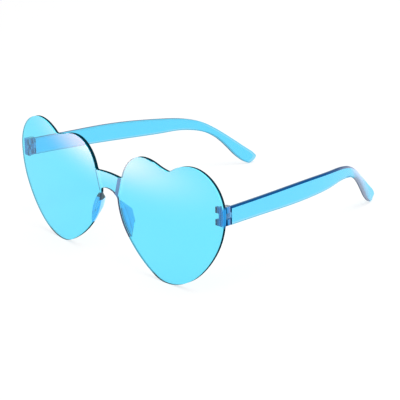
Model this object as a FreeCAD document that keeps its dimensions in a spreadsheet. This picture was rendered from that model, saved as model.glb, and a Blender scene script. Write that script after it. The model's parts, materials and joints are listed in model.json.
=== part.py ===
import FreeCAD, Part
import math
import os

import Sketcher
from FreeCAD import Placement, Rotation, Vector

# Heart shaped sunglasses: a one-piece curved front sheet, two bonded nose pads and two temples
# that fold on screwed plastic hinges. Millimetres and degrees.
# Worn frame: x to the wearer's left, y backwards, z up from the lowest points of the hearts.

SIZES = {
    # Front sheet: its curve, and the outline of one half, from the bridge round the heart
    "front_half_width": 72.5,
    "curve_radius": 735.0,
    "sheet_thickness": 1.8,
    "bridge_top_height": 41.15,
    "corner_x": 9.45,
    "corner_height": 40.55,
    "corner_angle": 76.7,
    "corner_round": 0.8,
    "inner_lobe_x": 24.9,
    "lobe_height": 53.2,
    "cusp_x": 40.6,
    "cusp_drop": 3.0,
    "cusp_angle_in": -4.6,
    "cusp_angle_out": 36.6,
    "cusp_round": 3.0,
    "outer_lobe_x": 54.8,
    "outer_lobe_rise": 1.9,
    "widest_height": 38.0,
    "outer_flank_x": 57.4,
    "outer_flank_height": 8.0,
    "outer_flank_angle": -138.6,
    "point_x": 37.9,
    "inner_flank_x": 23.8,
    "inner_flank_height": 5.7,
    "inner_flank_angle": -213.8,
    "nose_side_x": 6.3,
    "nose_side_height": 30.4,
    "nose_side_angle": -264.0,
    "nose_arch_height": 34.0,
    "bridge_proud": 0.7,
    "bridge_ramp": 1.5,
    "bridge_hollow_inset": 0.3,
    # Nose pads: wedge ridges bonded to the back of the sheet along its nose edges
    "pad_bottom": 14.3,
    "pad_top": 29.9,
    "pad_inset": 0.2,
    "pad_base_width": 4.6,
    "pad_end_width": 1.6,
    "pad_tip_width": 0.6,
    "pad_depth": 4.0,
    "pad_splay": 2.6,
    "pad_rim_bottom": 21.5,
    "pad_rim_top": 25.9,
    "pad_rim_width": 1.0,
    "pad_rim_bevel": 0.3,
    # Hinges: a forked block on the sheet, a tongue on the temple and a screw through both
    "hinge_height": 37.1,
    "hinge_inset": 2.85,
    "block_height": 8.0,
    "block_width": 4.2,
    "foot_thickness": 1.1,
    "barrel_radius": 1.65,
    "slot_height": 2.7,
    "notch_depth": 1.9,
    "block_round": 0.6,
    "tongue_clearance": 0.1,
    "tongue_reach": 1.1,
    "tongue_root": 2.0,
    "stop_gap": 0.1,
    "panel_gap": 0.2,
    "screw_radius": 0.7,
    "screw_end_gap": 0.6,
    "thread_clearance": 0.02,
    "pivot_clearance": 0.05,
    "screw_head_radius": 1.1,
    "screw_head_edge": 0.5,
    "screw_head_dome": 0.3,
    "screw_head_sink": 0.45,
    "driver_slot_width": 0.4,
    "driver_slot_depth": 0.35,
    # Temples: a bowed panel, whose side outline is given from the hinge's height and drops to a paddle
    "panel_thickness": 2.4,
    "panel_edge_bevel": 0.6,
    "panel_flush": 0.1,
    "panel_angle": 94.7,
    "waist_x": 63.0,
    "waist_y": 70.0,
    "waist_angle": 103.5,
    "tip_x": 40.8,
    "tip_angle": 109.0,
    "front_top_rise": 3.45,
    "front_bottom_fall": 4.45,
    "waist_top_rise": 2.65,
    "waist_top_angle": -4.0,
    "waist_bottom_fall": 5.35,
    "waist_bottom_angle": -0.3,
    "neck_run": 25.0,
    "neck_top_fall": 0.5,
    "neck_top_angle": -16.0,
    "neck_bottom_fall": 5.75,
    "neck_bottom_angle": -12.0,
    "drop_run": 11.5,
    "drop_top_fall": 7.6,
    "drop_top_angle": -40.0,
    "drop_bottom_fall": 11.9,
    "drop_bottom_angle": -45.0,
    "tip_run": 13.8,
    "tip_fall": 21.8,
    "tip_radius": 3.2,
    "tip_reach": 5.2,
    "tip_slope": -36.0,
}

doc = FreeCAD.newDocument("HeartSunglasses")
sheet = doc.addObject("Spreadsheet::Sheet", "Sizes")
for row, (alias, number) in enumerate(SIZES.items(), start=1):
    sheet.set(f"A{row}", alias)
    sheet.set(f"B{row}", str(number))
    sheet.setAlias(f"B{row}", alias)
doc.recompute()


# Derived places, as expressions on the sheet

def rear_of_sheet(x):
    """Expression for the y of the sheet's rear surface at x."""
    rear_radius = "(Sizes.curve_radius - Sizes.sheet_thickness)"
    return f"(Sizes.curve_radius - sqrt({rear_radius} ^ 2 - ({x}) ^ 2))"


CUSP_Z = "(Sizes.lobe_height - Sizes.cusp_drop)"
OUTER_LOBE_Z = "(Sizes.lobe_height + Sizes.outer_lobe_rise)"
HINGE_X = "(Sizes.front_half_width - Sizes.hinge_inset)"
FOOT_Y = f"({rear_of_sheet(HINGE_X)} + Sizes.foot_thickness)"
HINGE_Y = f"({FOOT_Y} + Sizes.stop_gap + Sizes.barrel_radius)"
BLOCK_OUTER_X = f"({HINGE_X} + Sizes.barrel_radius)"
BLOCK_INNER_X = f"({BLOCK_OUTER_X} - Sizes.block_width)"
BARREL_INNER_X = f"({HINGE_X} - Sizes.barrel_radius)"
PANEL_FRONT_Y = f"({HINGE_Y} + Sizes.barrel_radius + Sizes.panel_gap)"
PANEL_OUTER_X = f"({BLOCK_OUTER_X} + Sizes.panel_flush)"
BLOCK_TOP_Z = "(Sizes.hinge_height + Sizes.block_height / 2)"
HEAD_SEAT_Z = f"({BLOCK_TOP_Z} - Sizes.screw_head_sink)"
NECK_Y = "(Sizes.waist_y + Sizes.neck_run)"
DROP_Y = f"({NECK_Y} + Sizes.drop_run)"
TIP_Y = f"({DROP_Y} + Sizes.tip_run)"
SPARE = 5.0

# Distances below which two places count as one, in sketches and on finished edges
TINY = 1e-6
NEAR = 1e-3


def value(expression):
    """Number that an expression on the sheet comes to."""
    return float(sheet.evalExpression(str(expression)))


def size(alias):
    return float(sheet.get(alias))


# Paths of tangent arcs, kept as lists of (start, end) lines and (start, middle, end) arcs

def unit(angle):
    return Vector(math.cos(angle), math.sin(angle), 0)


def arc_along(start, angle, end):
    """Arc from start, leaving at angle, to end, and its angle on arrival."""
    chord = end - start
    half_turn = math.atan2(chord.y, chord.x) - angle
    half_turn = math.atan2(math.sin(half_turn), math.cos(half_turn))
    middle = start + unit(angle + half_turn / 2) * (chord.Length / (2 * math.cos(half_turn / 2)))
    return (start, middle, end), angle + 2 * half_turn


def biarc(start, start_angle, end, end_angle):
    """Two tangent arcs between two points with given directions."""
    leaving, arriving = unit(start_angle), unit(end_angle)
    chord = end - start
    along = chord.dot(leaving + arriving)
    spread = 2 * (1 - leaving.dot(arriving))
    if spread < TINY:
        reach = chord.dot(chord) / (2 * along)
    else:
        reach = (math.sqrt(along ** 2 + spread * chord.dot(chord)) - along) / spread
    joint = (start + end + (leaving - arriving) * reach) / 2
    first, joint_angle = arc_along(start, start_angle, joint)
    second, _ = arc_along(joint, joint_angle, end)
    return [first, second]


def path(*knots):
    """Tangent arcs through knots of (x, y, angle in degrees)."""
    edges = []
    for (x0, y0, a0), (x1, y1, a1) in zip(knots, knots[1:]):
        edges += biarc(Vector(x0, y0, 0), math.radians(a0), Vector(x1, y1, 0), math.radians(a1))
    return edges


def reverse(edges):
    return [edge[::-1] for edge in reversed(edges)]


def mirror_x(edges):
    return [tuple(Vector(-p.x, p.y, 0) for p in edge) for edge in edges]


def shift_side(edges, distance):
    """Copy of an arc path moved to its left by a distance."""
    moved = []
    for start, middle, end in edges:
        circle = Part.Circle(start, middle, end)
        turns_left = (middle - start).cross(end - middle).z > 0
        scale = (circle.Radius - distance if turns_left else circle.Radius + distance) / circle.Radius
        moved.append(tuple(circle.Center + (p - circle.Center) * scale for p in (start, middle, end)))
    return moved


# Sketches and features

def origin_plane(body, role):
    return next(f for f in body.Origin.OriginFeatures if f.Role == role)


def new_sketch(body, name, plane, lift=None):
    """Sketch on one of the body's origin planes, lifted along its normal by an expression."""
    sketch = body.newObject("Sketcher::SketchObject", name)
    sketch.AttachmentSupport = (origin_plane(body, plane), [""])
    sketch.MapMode = "FlatFace"
    if lift:
        sketch.setExpression("AttachmentOffset.Base.z", lift)
    return sketch


def end_of(sketch, geometry, point):
    """Sketch name, 1 or 2, of the end of an edge that lies at a point."""
    starts = sketch.getPoint(geometry, 1).distanceToPoint(point)
    ends = sketch.getPoint(geometry, 2).distanceToPoint(point)
    return 1 if starts < ends else 2


def add_loop(sketch, edges):
    """Adds a closed loop of edges, joined end to end; returns their numbers."""
    shapes = [Part.LineSegment(*edge) if len(edge) == 2 else Part.Arc(*edge) for edge in edges]
    numbers = list(sketch.addGeometry(shapes, False))
    joins = []
    for here, following, edge in zip(numbers, numbers[1:] + numbers[:1], edges):
        meet = edge[-1]
        joins.append(Sketcher.Constraint(
            "Coincident", here, end_of(sketch, here, meet), following, end_of(sketch, following, meet)))
    sketch.addConstraint(joins)
    return numbers


def bind(sketch, kind, reference, expression):
    """Adds a dimension that follows an expression on the sheet."""
    index = sketch.addConstraint(Sketcher.Constraint(kind, *reference, value(expression)))
    name = f"{kind}_{index}"
    sketch.renameConstraint(index, name)
    sketch.setExpression(f"Constraints.{name}", str(expression))


def bind_point(sketch, geometry, point, x, y):
    """Ties the end of an edge that lies at a point to two expressions."""
    end = end_of(sketch, geometry, point)
    bind(sketch, "DistanceX", (geometry, end), x)
    bind(sketch, "DistanceY", (geometry, end), y)


def bound_loop(sketch, corners, rounds=()):
    """Closed loop through corners given as pairs of expressions.

    rounds maps the number of a side to (middle x, middle y, centre y), which makes it an arc."""
    rounds = dict(rounds)
    points = [Vector(value(x), value(y), 0) for x, y in corners]
    edges = []
    for number, (start, end) in enumerate(zip(points, points[1:] + points[:1])):
        if number in rounds:
            x, y, _ = rounds[number]
            edges.append((start, Vector(value(x), value(y), 0), end))
        else:
            edges.append((start, end))
    numbers = add_loop(sketch, edges)
    for geometry, point, (x, y) in zip(numbers, points, corners):
        bind_point(sketch, geometry, point, x, y)
    for number, (_, _, centre_y) in rounds.items():
        bind(sketch, "DistanceY", (numbers[number], 3), centre_y)
    return numbers


def bound_box(sketch, x0, x1, y0, y1):
    return bound_loop(sketch, [(x0, y0), (x1, y0), (x1, y1), (x0, y1)])


def bound_circle(sketch, x, y, radius):
    number = sketch.addGeometry(
        Part.Circle(Vector(value(x), value(y), 0), Vector(0, 0, 1), value(radius)), False)
    bind(sketch, "DistanceX", (number, 3), x)
    bind(sketch, "DistanceY", (number, 3), y)
    bind(sketch, "Radius", (number,), radius)


def pad(body, sketch, length, side="Symmetric", length2=None):
    feature = body.newObject("PartDesign::Pad", sketch.Name + "_pad")
    feature.Profile = sketch
    feature.SideType = side
    feature.setExpression("Length", str(length))
    if length2:
        feature.setExpression("Length2", str(length2))
    doc.recompute()
    return feature


def pocket(body, sketch, length=None, side="Symmetric"):
    """Cut of a sketch, right through where no length is given; it has to take something away."""
    before = body.Shape.Volume
    feature = body.newObject("PartDesign::Pocket", sketch.Name + "_pocket")
    feature.Profile = sketch
    feature.SideType = side
    if length:
        feature.setExpression("Length", str(length))
    else:
        feature.Type = "ThroughAll"
    doc.recompute()
    if body.Shape.Volume > before - TINY:
        raise RuntimeError(f"{feature.Name} cuts nothing")
    return feature


def dress_edges(body, kind, name, chosen):
    """Feature on the edges of the body's last feature for which chosen(edge) is true."""
    base = body.Tip
    names = [f"Edge{i}" for i, edge in enumerate(base.Shape.Edges, start=1) if chosen(edge)]
    if not names:
        raise RuntimeError(f"{name} finds no edge")
    feature = body.newObject(kind, name)
    feature.Base = (base, names)
    return feature


def fillet(body, name, chosen, radius):
    feature = dress_edges(body, "PartDesign::Fillet", name, chosen)
    feature.setExpression("Radius", radius)
    doc.recompute()


def chamfer(body, name, chosen, width):
    feature = dress_edges(body, "PartDesign::Chamfer", name, chosen)
    feature.setExpression("Size", width)
    doc.recompute()


def mirror_feature(body, original):
    """Repeats a feature on the other side of the middle plane."""
    feature = body.newObject("PartDesign::Mirrored", original.Name + "_mirror")
    feature.Originals = [original]
    feature.MirrorPlane = (origin_plane(body, "YZ_Plane"), [""])
    body.Tip = feature
    doc.recompute()


def new_body(label):
    body = doc.addObject("PartDesign::Body", label)
    body.Label = label
    return body


def trim_to_sheet(body):
    """Cuts away all that lies in front of the sheet's rear surface, so that the piece seats on it."""
    sketch = new_sketch(body, body.Name + "_seat", "XY_Plane")
    edge_x = f"(Sizes.front_half_width + {SPARE})"
    rear_y = rear_of_sheet(edge_x)
    front_y = f"(-{2 * SPARE})"
    bound_loop(
        sketch,
        [(f"-{edge_x}", rear_y), (f"-{edge_x}", front_y), (edge_x, front_y), (edge_x, rear_y)],
        {3: ("0", "Sizes.sheet_thickness", "Sizes.curve_radius")})
    pocket(body, sketch)


# Front sheet

def heart_knots():
    """Knots of one half of the outline, from the bridge corner round the heart to the nose arch."""
    inner = [("Sizes.corner_x", "Sizes.corner_height", "Sizes.corner_angle"),
             ("Sizes.inner_lobe_x", "Sizes.lobe_height", "0"),
             ("Sizes.cusp_x", CUSP_Z, "Sizes.cusp_angle_in")]
    outer = [("Sizes.cusp_x", CUSP_Z, "Sizes.cusp_angle_out"),
             ("Sizes.outer_lobe_x", OUTER_LOBE_Z, "0"),
             ("Sizes.front_half_width", "Sizes.widest_height", "-90"),
             ("Sizes.outer_flank_x", "Sizes.outer_flank_height", "Sizes.outer_flank_angle"),
             ("Sizes.point_x", "0", "-180"),
             ("Sizes.inner_flank_x", "Sizes.inner_flank_height", "Sizes.inner_flank_angle"),
             ("Sizes.nose_side_x", "Sizes.nose_side_height", "Sizes.nose_side_angle"),
             ("0", "Sizes.nose_arch_height", "-180")]
    return inner, outer


def numbers_of(knots):
    return [tuple(value(k) for k in knot) for knot in knots]


def heart_half():
    """Edges of one half of the outline, from the bridge corner to the middle of the nose arch."""
    inner, outer = heart_knots()
    return path(*numbers_of(inner)) + path(*numbers_of(outer))


def bridge_top():
    corner = Vector(size("corner_x"), size("corner_height"), 0)
    return (Vector(-corner.x, corner.y, 0), Vector(0, size("bridge_top_height"), 0), corner)


def tie_knots(sketch, numbers):
    """Ties the outline's knots on both halves to their cells."""
    inner, outer = heart_knots()
    for x, z, _ in inner[:-1] + outer[:-1]:
        for side_x in (x, f"-{x}"):
            spot = Vector(value(side_x), value(z), 0)
            near = next(n for n in numbers
                        if sketch.getPoint(n, end_of(sketch, n, spot)).distanceToPoint(spot) < TINY)
            bind_point(sketch, near, spot, side_x, z)


def outline_edge(edge, x, z):
    """True for an edge that runs front to back at one point of the outline, on either half."""
    first, last = edge.Vertexes[0].Point, edge.Vertexes[-1].Point
    runs_back = abs(first.x - last.x) < NEAR and abs(first.z - last.z) < NEAR
    return runs_back and abs(abs(first.x) - x) < NEAR and abs(first.z - z) < NEAR


def bridge_end_sketch(body, name):
    """Sketch across the slanted end of the bridge, from its nose side up to its corner."""
    sketch = new_sketch(body, name, "XY_Plane")
    foot = Vector(size("nose_side_x"), 0, size("nose_side_height"))
    head = Vector(size("corner_x"), 0, size("corner_height"))
    slant = math.degrees(math.atan2(head.x - foot.x, head.z - foot.z))
    sketch.AttachmentOffset = Placement(foot, Rotation(Vector(0, 1, 0), slant))
    return sketch


def front_sheet():
    body = new_body("front_sheet")
    section = new_sketch(body, "sheet_section", "XY_Plane")
    edge_x = f"(Sizes.front_half_width + {SPARE})"
    front_y = f"(Sizes.curve_radius - sqrt(Sizes.curve_radius ^ 2 - {edge_x} ^ 2))"
    rear_y = rear_of_sheet(edge_x)
    bound_loop(
        section,
        [(f"-{edge_x}", front_y), (edge_x, front_y), (edge_x, rear_y), (f"-{edge_x}", rear_y)],
        {0: ("0", "0", "Sizes.curve_radius"),
         2: ("0", "Sizes.sheet_thickness", "Sizes.curve_radius")})
    pad(body, section, f"2 * ({OUTER_LOBE_Z} + {SPARE})")

    half = heart_half()
    outline = new_sketch(body, "heart_outline", "XZ_Plane")
    top_z = f"({OUTER_LOBE_Z} + {2 * SPARE})"
    bound_box(outline, f"-({edge_x} + {SPARE})", f"{edge_x} + {SPARE}", f"-{top_z}", top_z)
    numbers = add_loop(outline, [bridge_top()] + half + reverse(mirror_x(half)))
    tie_knots(outline, numbers)
    pocket(body, outline)
    fillet(body, "cusp_fillet", lambda e: outline_edge(e, size("cusp_x"), value(CUSP_Z)),
           "Sizes.cusp_round")
    fillet(body, "corner_fillet", lambda e: outline_edge(e, size("corner_x"), size("corner_height")),
           "Sizes.corner_round")

    bridge = new_sketch(body, "bridge_plate", "XZ_Plane")
    arch = half[-2:]
    ends = [(bridge_top()[-1], arch[0][0])]
    add_loop(bridge, [bridge_top()] + ends + arch + reverse(mirror_x(ends + arch)))
    pad(body, bridge, "Sizes.bridge_proud", "Two sides", "Sizes.sheet_thickness / 2")
    ramp = bridge_end_sketch(body, "bridge_ramp")
    ahead, beside = f"-{SPARE}", f"{SPARE}"
    bound_loop(ramp, [("0", "0"), ("-Sizes.bridge_ramp", "-Sizes.bridge_proud"),
                      ("-Sizes.bridge_ramp", ahead), (beside, ahead), (beside, "0")])
    mirror_feature(body, pocket(body, ramp))

    hollow_y = "(Sizes.sheet_thickness - Sizes.bridge_proud)"
    ramp_end = "(Sizes.bridge_hollow_inset + Sizes.bridge_ramp)"
    hollow = new_sketch(body, "bridge_hollow", "XZ_Plane", f"-{hollow_y}")
    top_x, low_x = f"(Sizes.corner_x - {ramp_end})", f"(Sizes.nose_side_x - {ramp_end})"
    high_z, low_z = f"(Sizes.bridge_top_height + {SPARE})", "Sizes.nose_side_height"
    bound_loop(hollow, [(f"-{low_x}", low_z), (low_x, low_z), (top_x, high_z), (f"-{top_x}", high_z)])
    pocket(body, hollow, f"{SPARE}", "One side")
    rear_ramp = bridge_end_sketch(body, "hollow_ramp")
    behind = f"(Sizes.sheet_thickness + {SPARE})"
    rise_end = f"(-Sizes.bridge_hollow_inset + Sizes.bridge_ramp * {SPARE} / Sizes.bridge_proud)"
    bound_loop(rear_ramp, [(f"-2 * {ramp_end}", hollow_y), (f"-{ramp_end}", hollow_y),
                           (rise_end, behind), (f"-2 * {ramp_end}", behind)])
    mirror_feature(body, pocket(body, rear_ramp))
    return body


# Nose pads

def nose_edge_x(z):
    """Where the nose edge of the left heart lies at a height."""
    level = Part.LineSegment(Vector(0, z, 0), Vector(size("front_half_width"), z, 0))
    flank = heart_half()[-6:]
    found = [p.X for edge in flank for p in Part.Arc(*edge).intersect(level)]
    return min(found)


def pad_ring(body, name, lift, heights, near, widths):
    """Crescent along the nose edge, on a plane at a depth behind the sheet's front."""
    bottom, top = heights
    nose = [Vector(nose_edge_x(z) + near, z, 0) for z in (bottom, (bottom + top) / 2, top)]
    out = [p + Vector(wide, 0, 0) for p, wide in zip(nose, widths)]
    sketch = new_sketch(body, name, "XZ_Plane", f"-({lift})")
    add_loop(sketch, [tuple(nose), (nose[2], out[2]), tuple(reversed(out)), (out[0], nose[0])])
    return sketch


def nose_pad():
    body = new_body("nose_pad_left")
    base = pad_ring(body, "pad_base", "Sizes.sheet_thickness", (size("pad_bottom"), size("pad_top")),
                    size("pad_inset"), (size("pad_tip_width"), size("pad_base_width"), size("pad_end_width")))
    rim_y = "Sizes.sheet_thickness + Sizes.pad_depth"
    rim = pad_ring(body, "pad_rim", rim_y, (size("pad_rim_bottom"), size("pad_rim_top")),
                   size("pad_inset") + size("pad_splay"), (size("pad_rim_width"),) * 3)
    loft = body.newObject("PartDesign::AdditiveLoft", "pad_loft")
    loft.Profile = base
    loft.Sections = [rim]
    doc.recompute()
    trim_to_sheet(body)
    rim_at = value(rim_y)
    chamfer(body, "pad_rim_bevel", lambda e: all(abs(v.Point.y - rim_at) < NEAR for v in e.Vertexes),
            "Sizes.pad_rim_bevel")
    return body


# Hinge blocks and screws

def hinge_block():
    body = new_body("hinge_block_left")
    plan = new_sketch(body, "block_plan", "XY_Plane", "Sizes.hinge_height")
    front_y = f"({rear_of_sheet(HINGE_X)} - {SPARE})"
    bound_loop(
        plan,
        [(BLOCK_INNER_X, front_y), (BLOCK_OUTER_X, front_y), (BLOCK_OUTER_X, HINGE_Y),
         (BARREL_INNER_X, HINGE_Y), (BARREL_INNER_X, FOOT_Y), (BLOCK_INNER_X, FOOT_Y)],
        {2: (HINGE_X, f"{HINGE_Y} + Sizes.barrel_radius", HINGE_Y)})
    pad(body, plan, "Sizes.block_height")
    fillet(body, "block_fillet", block_corner, "Sizes.block_round")

    slot = new_sketch(body, "tongue_slot", "XY_Plane", "Sizes.hinge_height")
    bound_box(slot, f"{BLOCK_INNER_X} - {SPARE}", f"{BLOCK_OUTER_X} + {SPARE}", FOOT_Y,
              f"{HINGE_Y} + Sizes.barrel_radius + {SPARE}")
    pocket(body, slot, "Sizes.slot_height")
    notch = new_sketch(body, "foot_notch", "XY_Plane", "Sizes.hinge_height")
    bound_box(notch, f"{BLOCK_INNER_X} - {SPARE}", f"{BLOCK_INNER_X} + Sizes.notch_depth",
              f"{front_y} - {SPARE}", f"{FOOT_Y} + {SPARE}")
    pocket(body, notch, "Sizes.slot_height")

    bore = new_sketch(body, "screw_bore", "XY_Plane", "Sizes.hinge_height")
    bound_circle(bore, HINGE_X, HINGE_Y, "Sizes.screw_radius + Sizes.thread_clearance")
    pocket(body, bore)
    sink = new_sketch(body, "head_sink", "XY_Plane", BLOCK_TOP_Z)
    bound_circle(sink, HINGE_X, HINGE_Y, "Sizes.screw_head_radius + Sizes.pivot_clearance")
    pocket(body, sink, "Sizes.screw_head_sink", "One side")
    trim_to_sheet(body)
    return body


def block_corner(edge):
    """True for the upright edges at the inner end of the block's foot."""
    points = [v.Point for v in edge.Vertexes]
    upright = abs(points[0].x - points[-1].x) < NEAR and abs(points[0].y - points[-1].y) < NEAR
    at_end = abs(points[0].x - value(BLOCK_INNER_X)) < NEAR
    return upright and at_end and abs(points[0].y - value(FOOT_Y)) < NEAR


def hinge_screw():
    body = new_body("hinge_screw_left")
    profile = new_sketch(body, "screw_profile", "XZ_Plane", f"-{HINGE_Y}")
    profile.setExpression("AttachmentOffset.Base.x", HINGE_X)
    end_z = "(Sizes.hinge_height - Sizes.block_height / 2 + Sizes.screw_end_gap)"
    edge_z = f"({HEAD_SEAT_Z} + Sizes.screw_head_edge)"
    dome_z = f"({edge_z} + Sizes.screw_head_dome)"
    dome_radius = "((Sizes.screw_head_radius ^ 2 + Sizes.screw_head_dome ^ 2) / (2 * Sizes.screw_head_dome))"
    middle_x = "(Sizes.screw_head_radius / 2)"
    middle_z = f"({dome_z} - {dome_radius} + sqrt({dome_radius} ^ 2 - {middle_x} ^ 2))"
    bound_loop(
        profile,
        [("0", end_z), ("Sizes.screw_radius", end_z), ("Sizes.screw_radius", HEAD_SEAT_Z),
         ("Sizes.screw_head_radius", HEAD_SEAT_Z), ("Sizes.screw_head_radius", edge_z), ("0", dome_z)],
        {4: (middle_x, middle_z, f"{dome_z} - {dome_radius}")})
    turned = body.newObject("PartDesign::Revolution", "screw_revolution")
    turned.Profile = profile
    turned.ReferenceAxis = (profile, ["V_Axis"])
    turned.Angle = 360
    doc.recompute()
    driver = new_sketch(body, "driver_slot", "XY_Plane", dome_z)
    bound_box(driver, f"{HINGE_X} - Sizes.screw_head_radius - {SPARE}",
              f"{HINGE_X} + Sizes.screw_head_radius + {SPARE}",
              f"{HINGE_Y} - Sizes.driver_slot_width / 2", f"{HINGE_Y} + Sizes.driver_slot_width / 2")
    pocket(body, driver, "Sizes.driver_slot_depth", "One side")
    return body


# Temples

def side_outline():
    """Side outline of the temple panel, as (y, z) edges: along the top, round the tip and back below."""
    front_y, waist_y, neck_y, drop_y = value(PANEL_FRONT_Y), size("waist_y"), value(NECK_Y), value(DROP_Y)
    hinge_z, slope = size("hinge_height"), size("tip_slope")
    tip = Vector(value(TIP_Y), hinge_z - size("tip_fall"), 0)
    across = unit(math.radians(slope + 90)) * size("tip_radius")
    upper, lower = tip + across, tip - across
    end = tip + unit(math.radians(slope)) * size("tip_reach")
    front_top = Vector(front_y, hinge_z + size("front_top_rise"), 0)
    front_bottom = Vector(front_y, hinge_z - size("front_bottom_fall"), 0)
    edges = path((front_y, front_top.y, 0),
                 (waist_y, hinge_z + size("waist_top_rise"), size("waist_top_angle")),
                 (neck_y, hinge_z - size("neck_top_fall"), size("neck_top_angle")),
                 (drop_y, hinge_z - size("drop_top_fall"), size("drop_top_angle")),
                 (upper.x, upper.y, slope), (end.x, end.y, slope - 90), (lower.x, lower.y, slope - 180),
                 (drop_y, hinge_z - size("drop_bottom_fall"), size("drop_bottom_angle") - 180),
                 (neck_y, hinge_z - size("neck_bottom_fall"), size("neck_bottom_angle") - 180),
                 (waist_y, hinge_z - size("waist_bottom_fall"), size("waist_bottom_angle") - 180),
                 (front_y, front_bottom.y, -180))
    return edges + [(front_bottom, front_top)]


def temple():
    body = new_body("temple_left")
    start_y = value(PANEL_FRONT_Y) - SPARE
    end_y = value(TIP_Y) + size("tip_reach") + SPARE
    outer = path((value(PANEL_OUTER_X), start_y, size("panel_angle")),
                 (size("waist_x"), size("waist_y"), size("waist_angle")),
                 (size("tip_x"), end_y, size("tip_angle")))
    inner = shift_side(outer, size("panel_thickness"))
    strip = new_sketch(body, "panel_plan", "XY_Plane", "Sizes.hinge_height")
    add_loop(strip, outer + [(outer[-1][-1], inner[-1][-1])] + reverse(inner) + [(inner[0][0], outer[0][0])])
    tall = f"2 * {OUTER_LOBE_Z}"
    pad(body, strip, tall)

    side = new_sketch(body, "panel_side", "YZ_Plane")
    bound_box(side, f"-{SPARE}", f"{end_y} + {2 * SPARE}", f"-{tall}", f"2 * ({tall})")
    add_loop(side, side_outline())
    pocket(body, side)
    chamfer(body, "panel_bevel", panel_rim, "Sizes.panel_edge_bevel")

    tongue = new_sketch(body, "tongue_plan", "XY_Plane", "Sizes.hinge_height")
    stop_y = f"({FOOT_Y} + Sizes.stop_gap)"
    root_y = f"({PANEL_FRONT_Y} + Sizes.tongue_root)"
    outer_x = f"({HINGE_X} + Sizes.tongue_reach)"
    corner = f"Sizes.barrel_radius * {math.sqrt(0.5)}"
    bound_loop(
        tongue,
        [(HINGE_X, stop_y), (outer_x, stop_y), (outer_x, root_y), (HINGE_X, root_y),
         (BARREL_INNER_X, HINGE_Y)],
        {4: (f"{HINGE_X} - {corner}", f"{HINGE_Y} - {corner}", HINGE_Y)})
    pad(body, tongue, "Sizes.slot_height - 2 * Sizes.tongue_clearance")
    bore = new_sketch(body, "pivot_bore", "XY_Plane", "Sizes.hinge_height")
    bound_circle(bore, HINGE_X, HINGE_Y, "Sizes.screw_radius + Sizes.pivot_clearance")
    pocket(body, bore)
    return body


def panel_rim(edge):
    """True for the edges round the panel's two broad faces, except at its front end."""
    span = edge.Vertexes[-1].Point - edge.Vertexes[0].Point
    across = abs(span.y) < NEAR and abs(span.z) < NEAR
    upright = abs(span.x) < NEAR and abs(span.y) < NEAR
    return not across and not upright


# Assembly: the right-hand pieces mirror the left, and all lean back together onto hearts and tips

def mirrored(body):
    twin = doc.addObject("Part::Mirroring", body.Label.replace("left", "right"))
    twin.Label = twin.Name
    twin.Source = body
    twin.Normal = Vector(1, 0, 0)
    return twin


LEAN_LIMIT = math.radians(30)
CLOUD_DEVIATION = 0.02


def lowest(points, lean):
    return min(p.y * math.sin(lean) + p.z * math.cos(lean) for p in points)


def lean_angle(front, arm):
    """Turn about x, in radians, that puts the hearts and the temple tips on one level floor."""
    low, high = -LEAN_LIMIT, LEAN_LIMIT
    while high - low > TINY:
        middle = (low + high) / 2
        if lowest(arm, middle) > lowest(front, middle):
            high = middle
        else:
            low = middle
    return (low + high) / 2


front, arm = front_sheet(), temple()
lefts = [nose_pad(), hinge_block(), hinge_screw(), arm]
pieces = [front] + lefts + [mirrored(body) for body in lefts]
doc.recompute()

clouds = [piece.Shape.tessellate(CLOUD_DEVIATION)[0] for piece in pieces]
lean = lean_angle(clouds[0], clouds[lefts.index(arm) + 1])
depths = [p.y * math.cos(lean) - p.z * math.sin(lean) for cloud in clouds for p in cloud]
floor_z = lowest(clouds[0], lean)
stand = Placement(Vector(0, -(min(depths) + max(depths)) / 2, -floor_z),
                  Rotation(Vector(1, 0, 0), math.degrees(lean)))
for body in [front] + lefts:
    body.Placement = stand
doc.recompute()

os.makedirs("parts", exist_ok=True)
for item in doc.Objects:
    if "Invalid" in item.State or "Error" in item.State:
        raise RuntimeError(f"{item.Name} is {item.State}")
for piece in pieces:
    if piece.Shape.isNull() or not piece.Shape.isValid() or len(piece.Shape.Solids) != 1:
        raise RuntimeError(f"{piece.Label} is not one sound solid")
    piece.Shape.exportStep(f"parts/{piece.Label}.step")
    print(piece.Label, round(piece.Shape.Volume, 1), piece.Shape.BoundBox)

hinge = stand.multVec(Vector(value(HINGE_X), value(HINGE_Y), size("hinge_height")))
print("lean", math.degrees(lean), "hinge at", hinge, "along", stand.Rotation.multVec(Vector(0, 0, 1)))
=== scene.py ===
import json
import math

import bmesh
import bpy
from mathutils import Euler, Matrix, Vector


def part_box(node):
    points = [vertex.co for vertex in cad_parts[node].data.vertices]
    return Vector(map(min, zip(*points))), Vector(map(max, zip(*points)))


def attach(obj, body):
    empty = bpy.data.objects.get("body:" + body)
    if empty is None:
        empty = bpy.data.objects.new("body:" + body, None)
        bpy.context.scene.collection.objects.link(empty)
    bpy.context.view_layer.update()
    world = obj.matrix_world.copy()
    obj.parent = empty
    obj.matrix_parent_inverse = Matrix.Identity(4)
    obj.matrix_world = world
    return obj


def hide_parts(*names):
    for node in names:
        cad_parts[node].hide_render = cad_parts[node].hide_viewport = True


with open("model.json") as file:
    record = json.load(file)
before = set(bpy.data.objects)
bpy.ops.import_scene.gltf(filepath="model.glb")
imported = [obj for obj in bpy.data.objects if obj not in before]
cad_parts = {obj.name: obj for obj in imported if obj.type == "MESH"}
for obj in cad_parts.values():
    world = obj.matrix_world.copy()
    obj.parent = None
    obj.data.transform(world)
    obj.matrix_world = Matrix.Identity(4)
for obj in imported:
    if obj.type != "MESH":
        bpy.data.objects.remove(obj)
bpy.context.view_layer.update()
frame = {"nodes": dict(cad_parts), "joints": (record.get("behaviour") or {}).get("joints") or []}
nodes = frame["nodes"]

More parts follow.
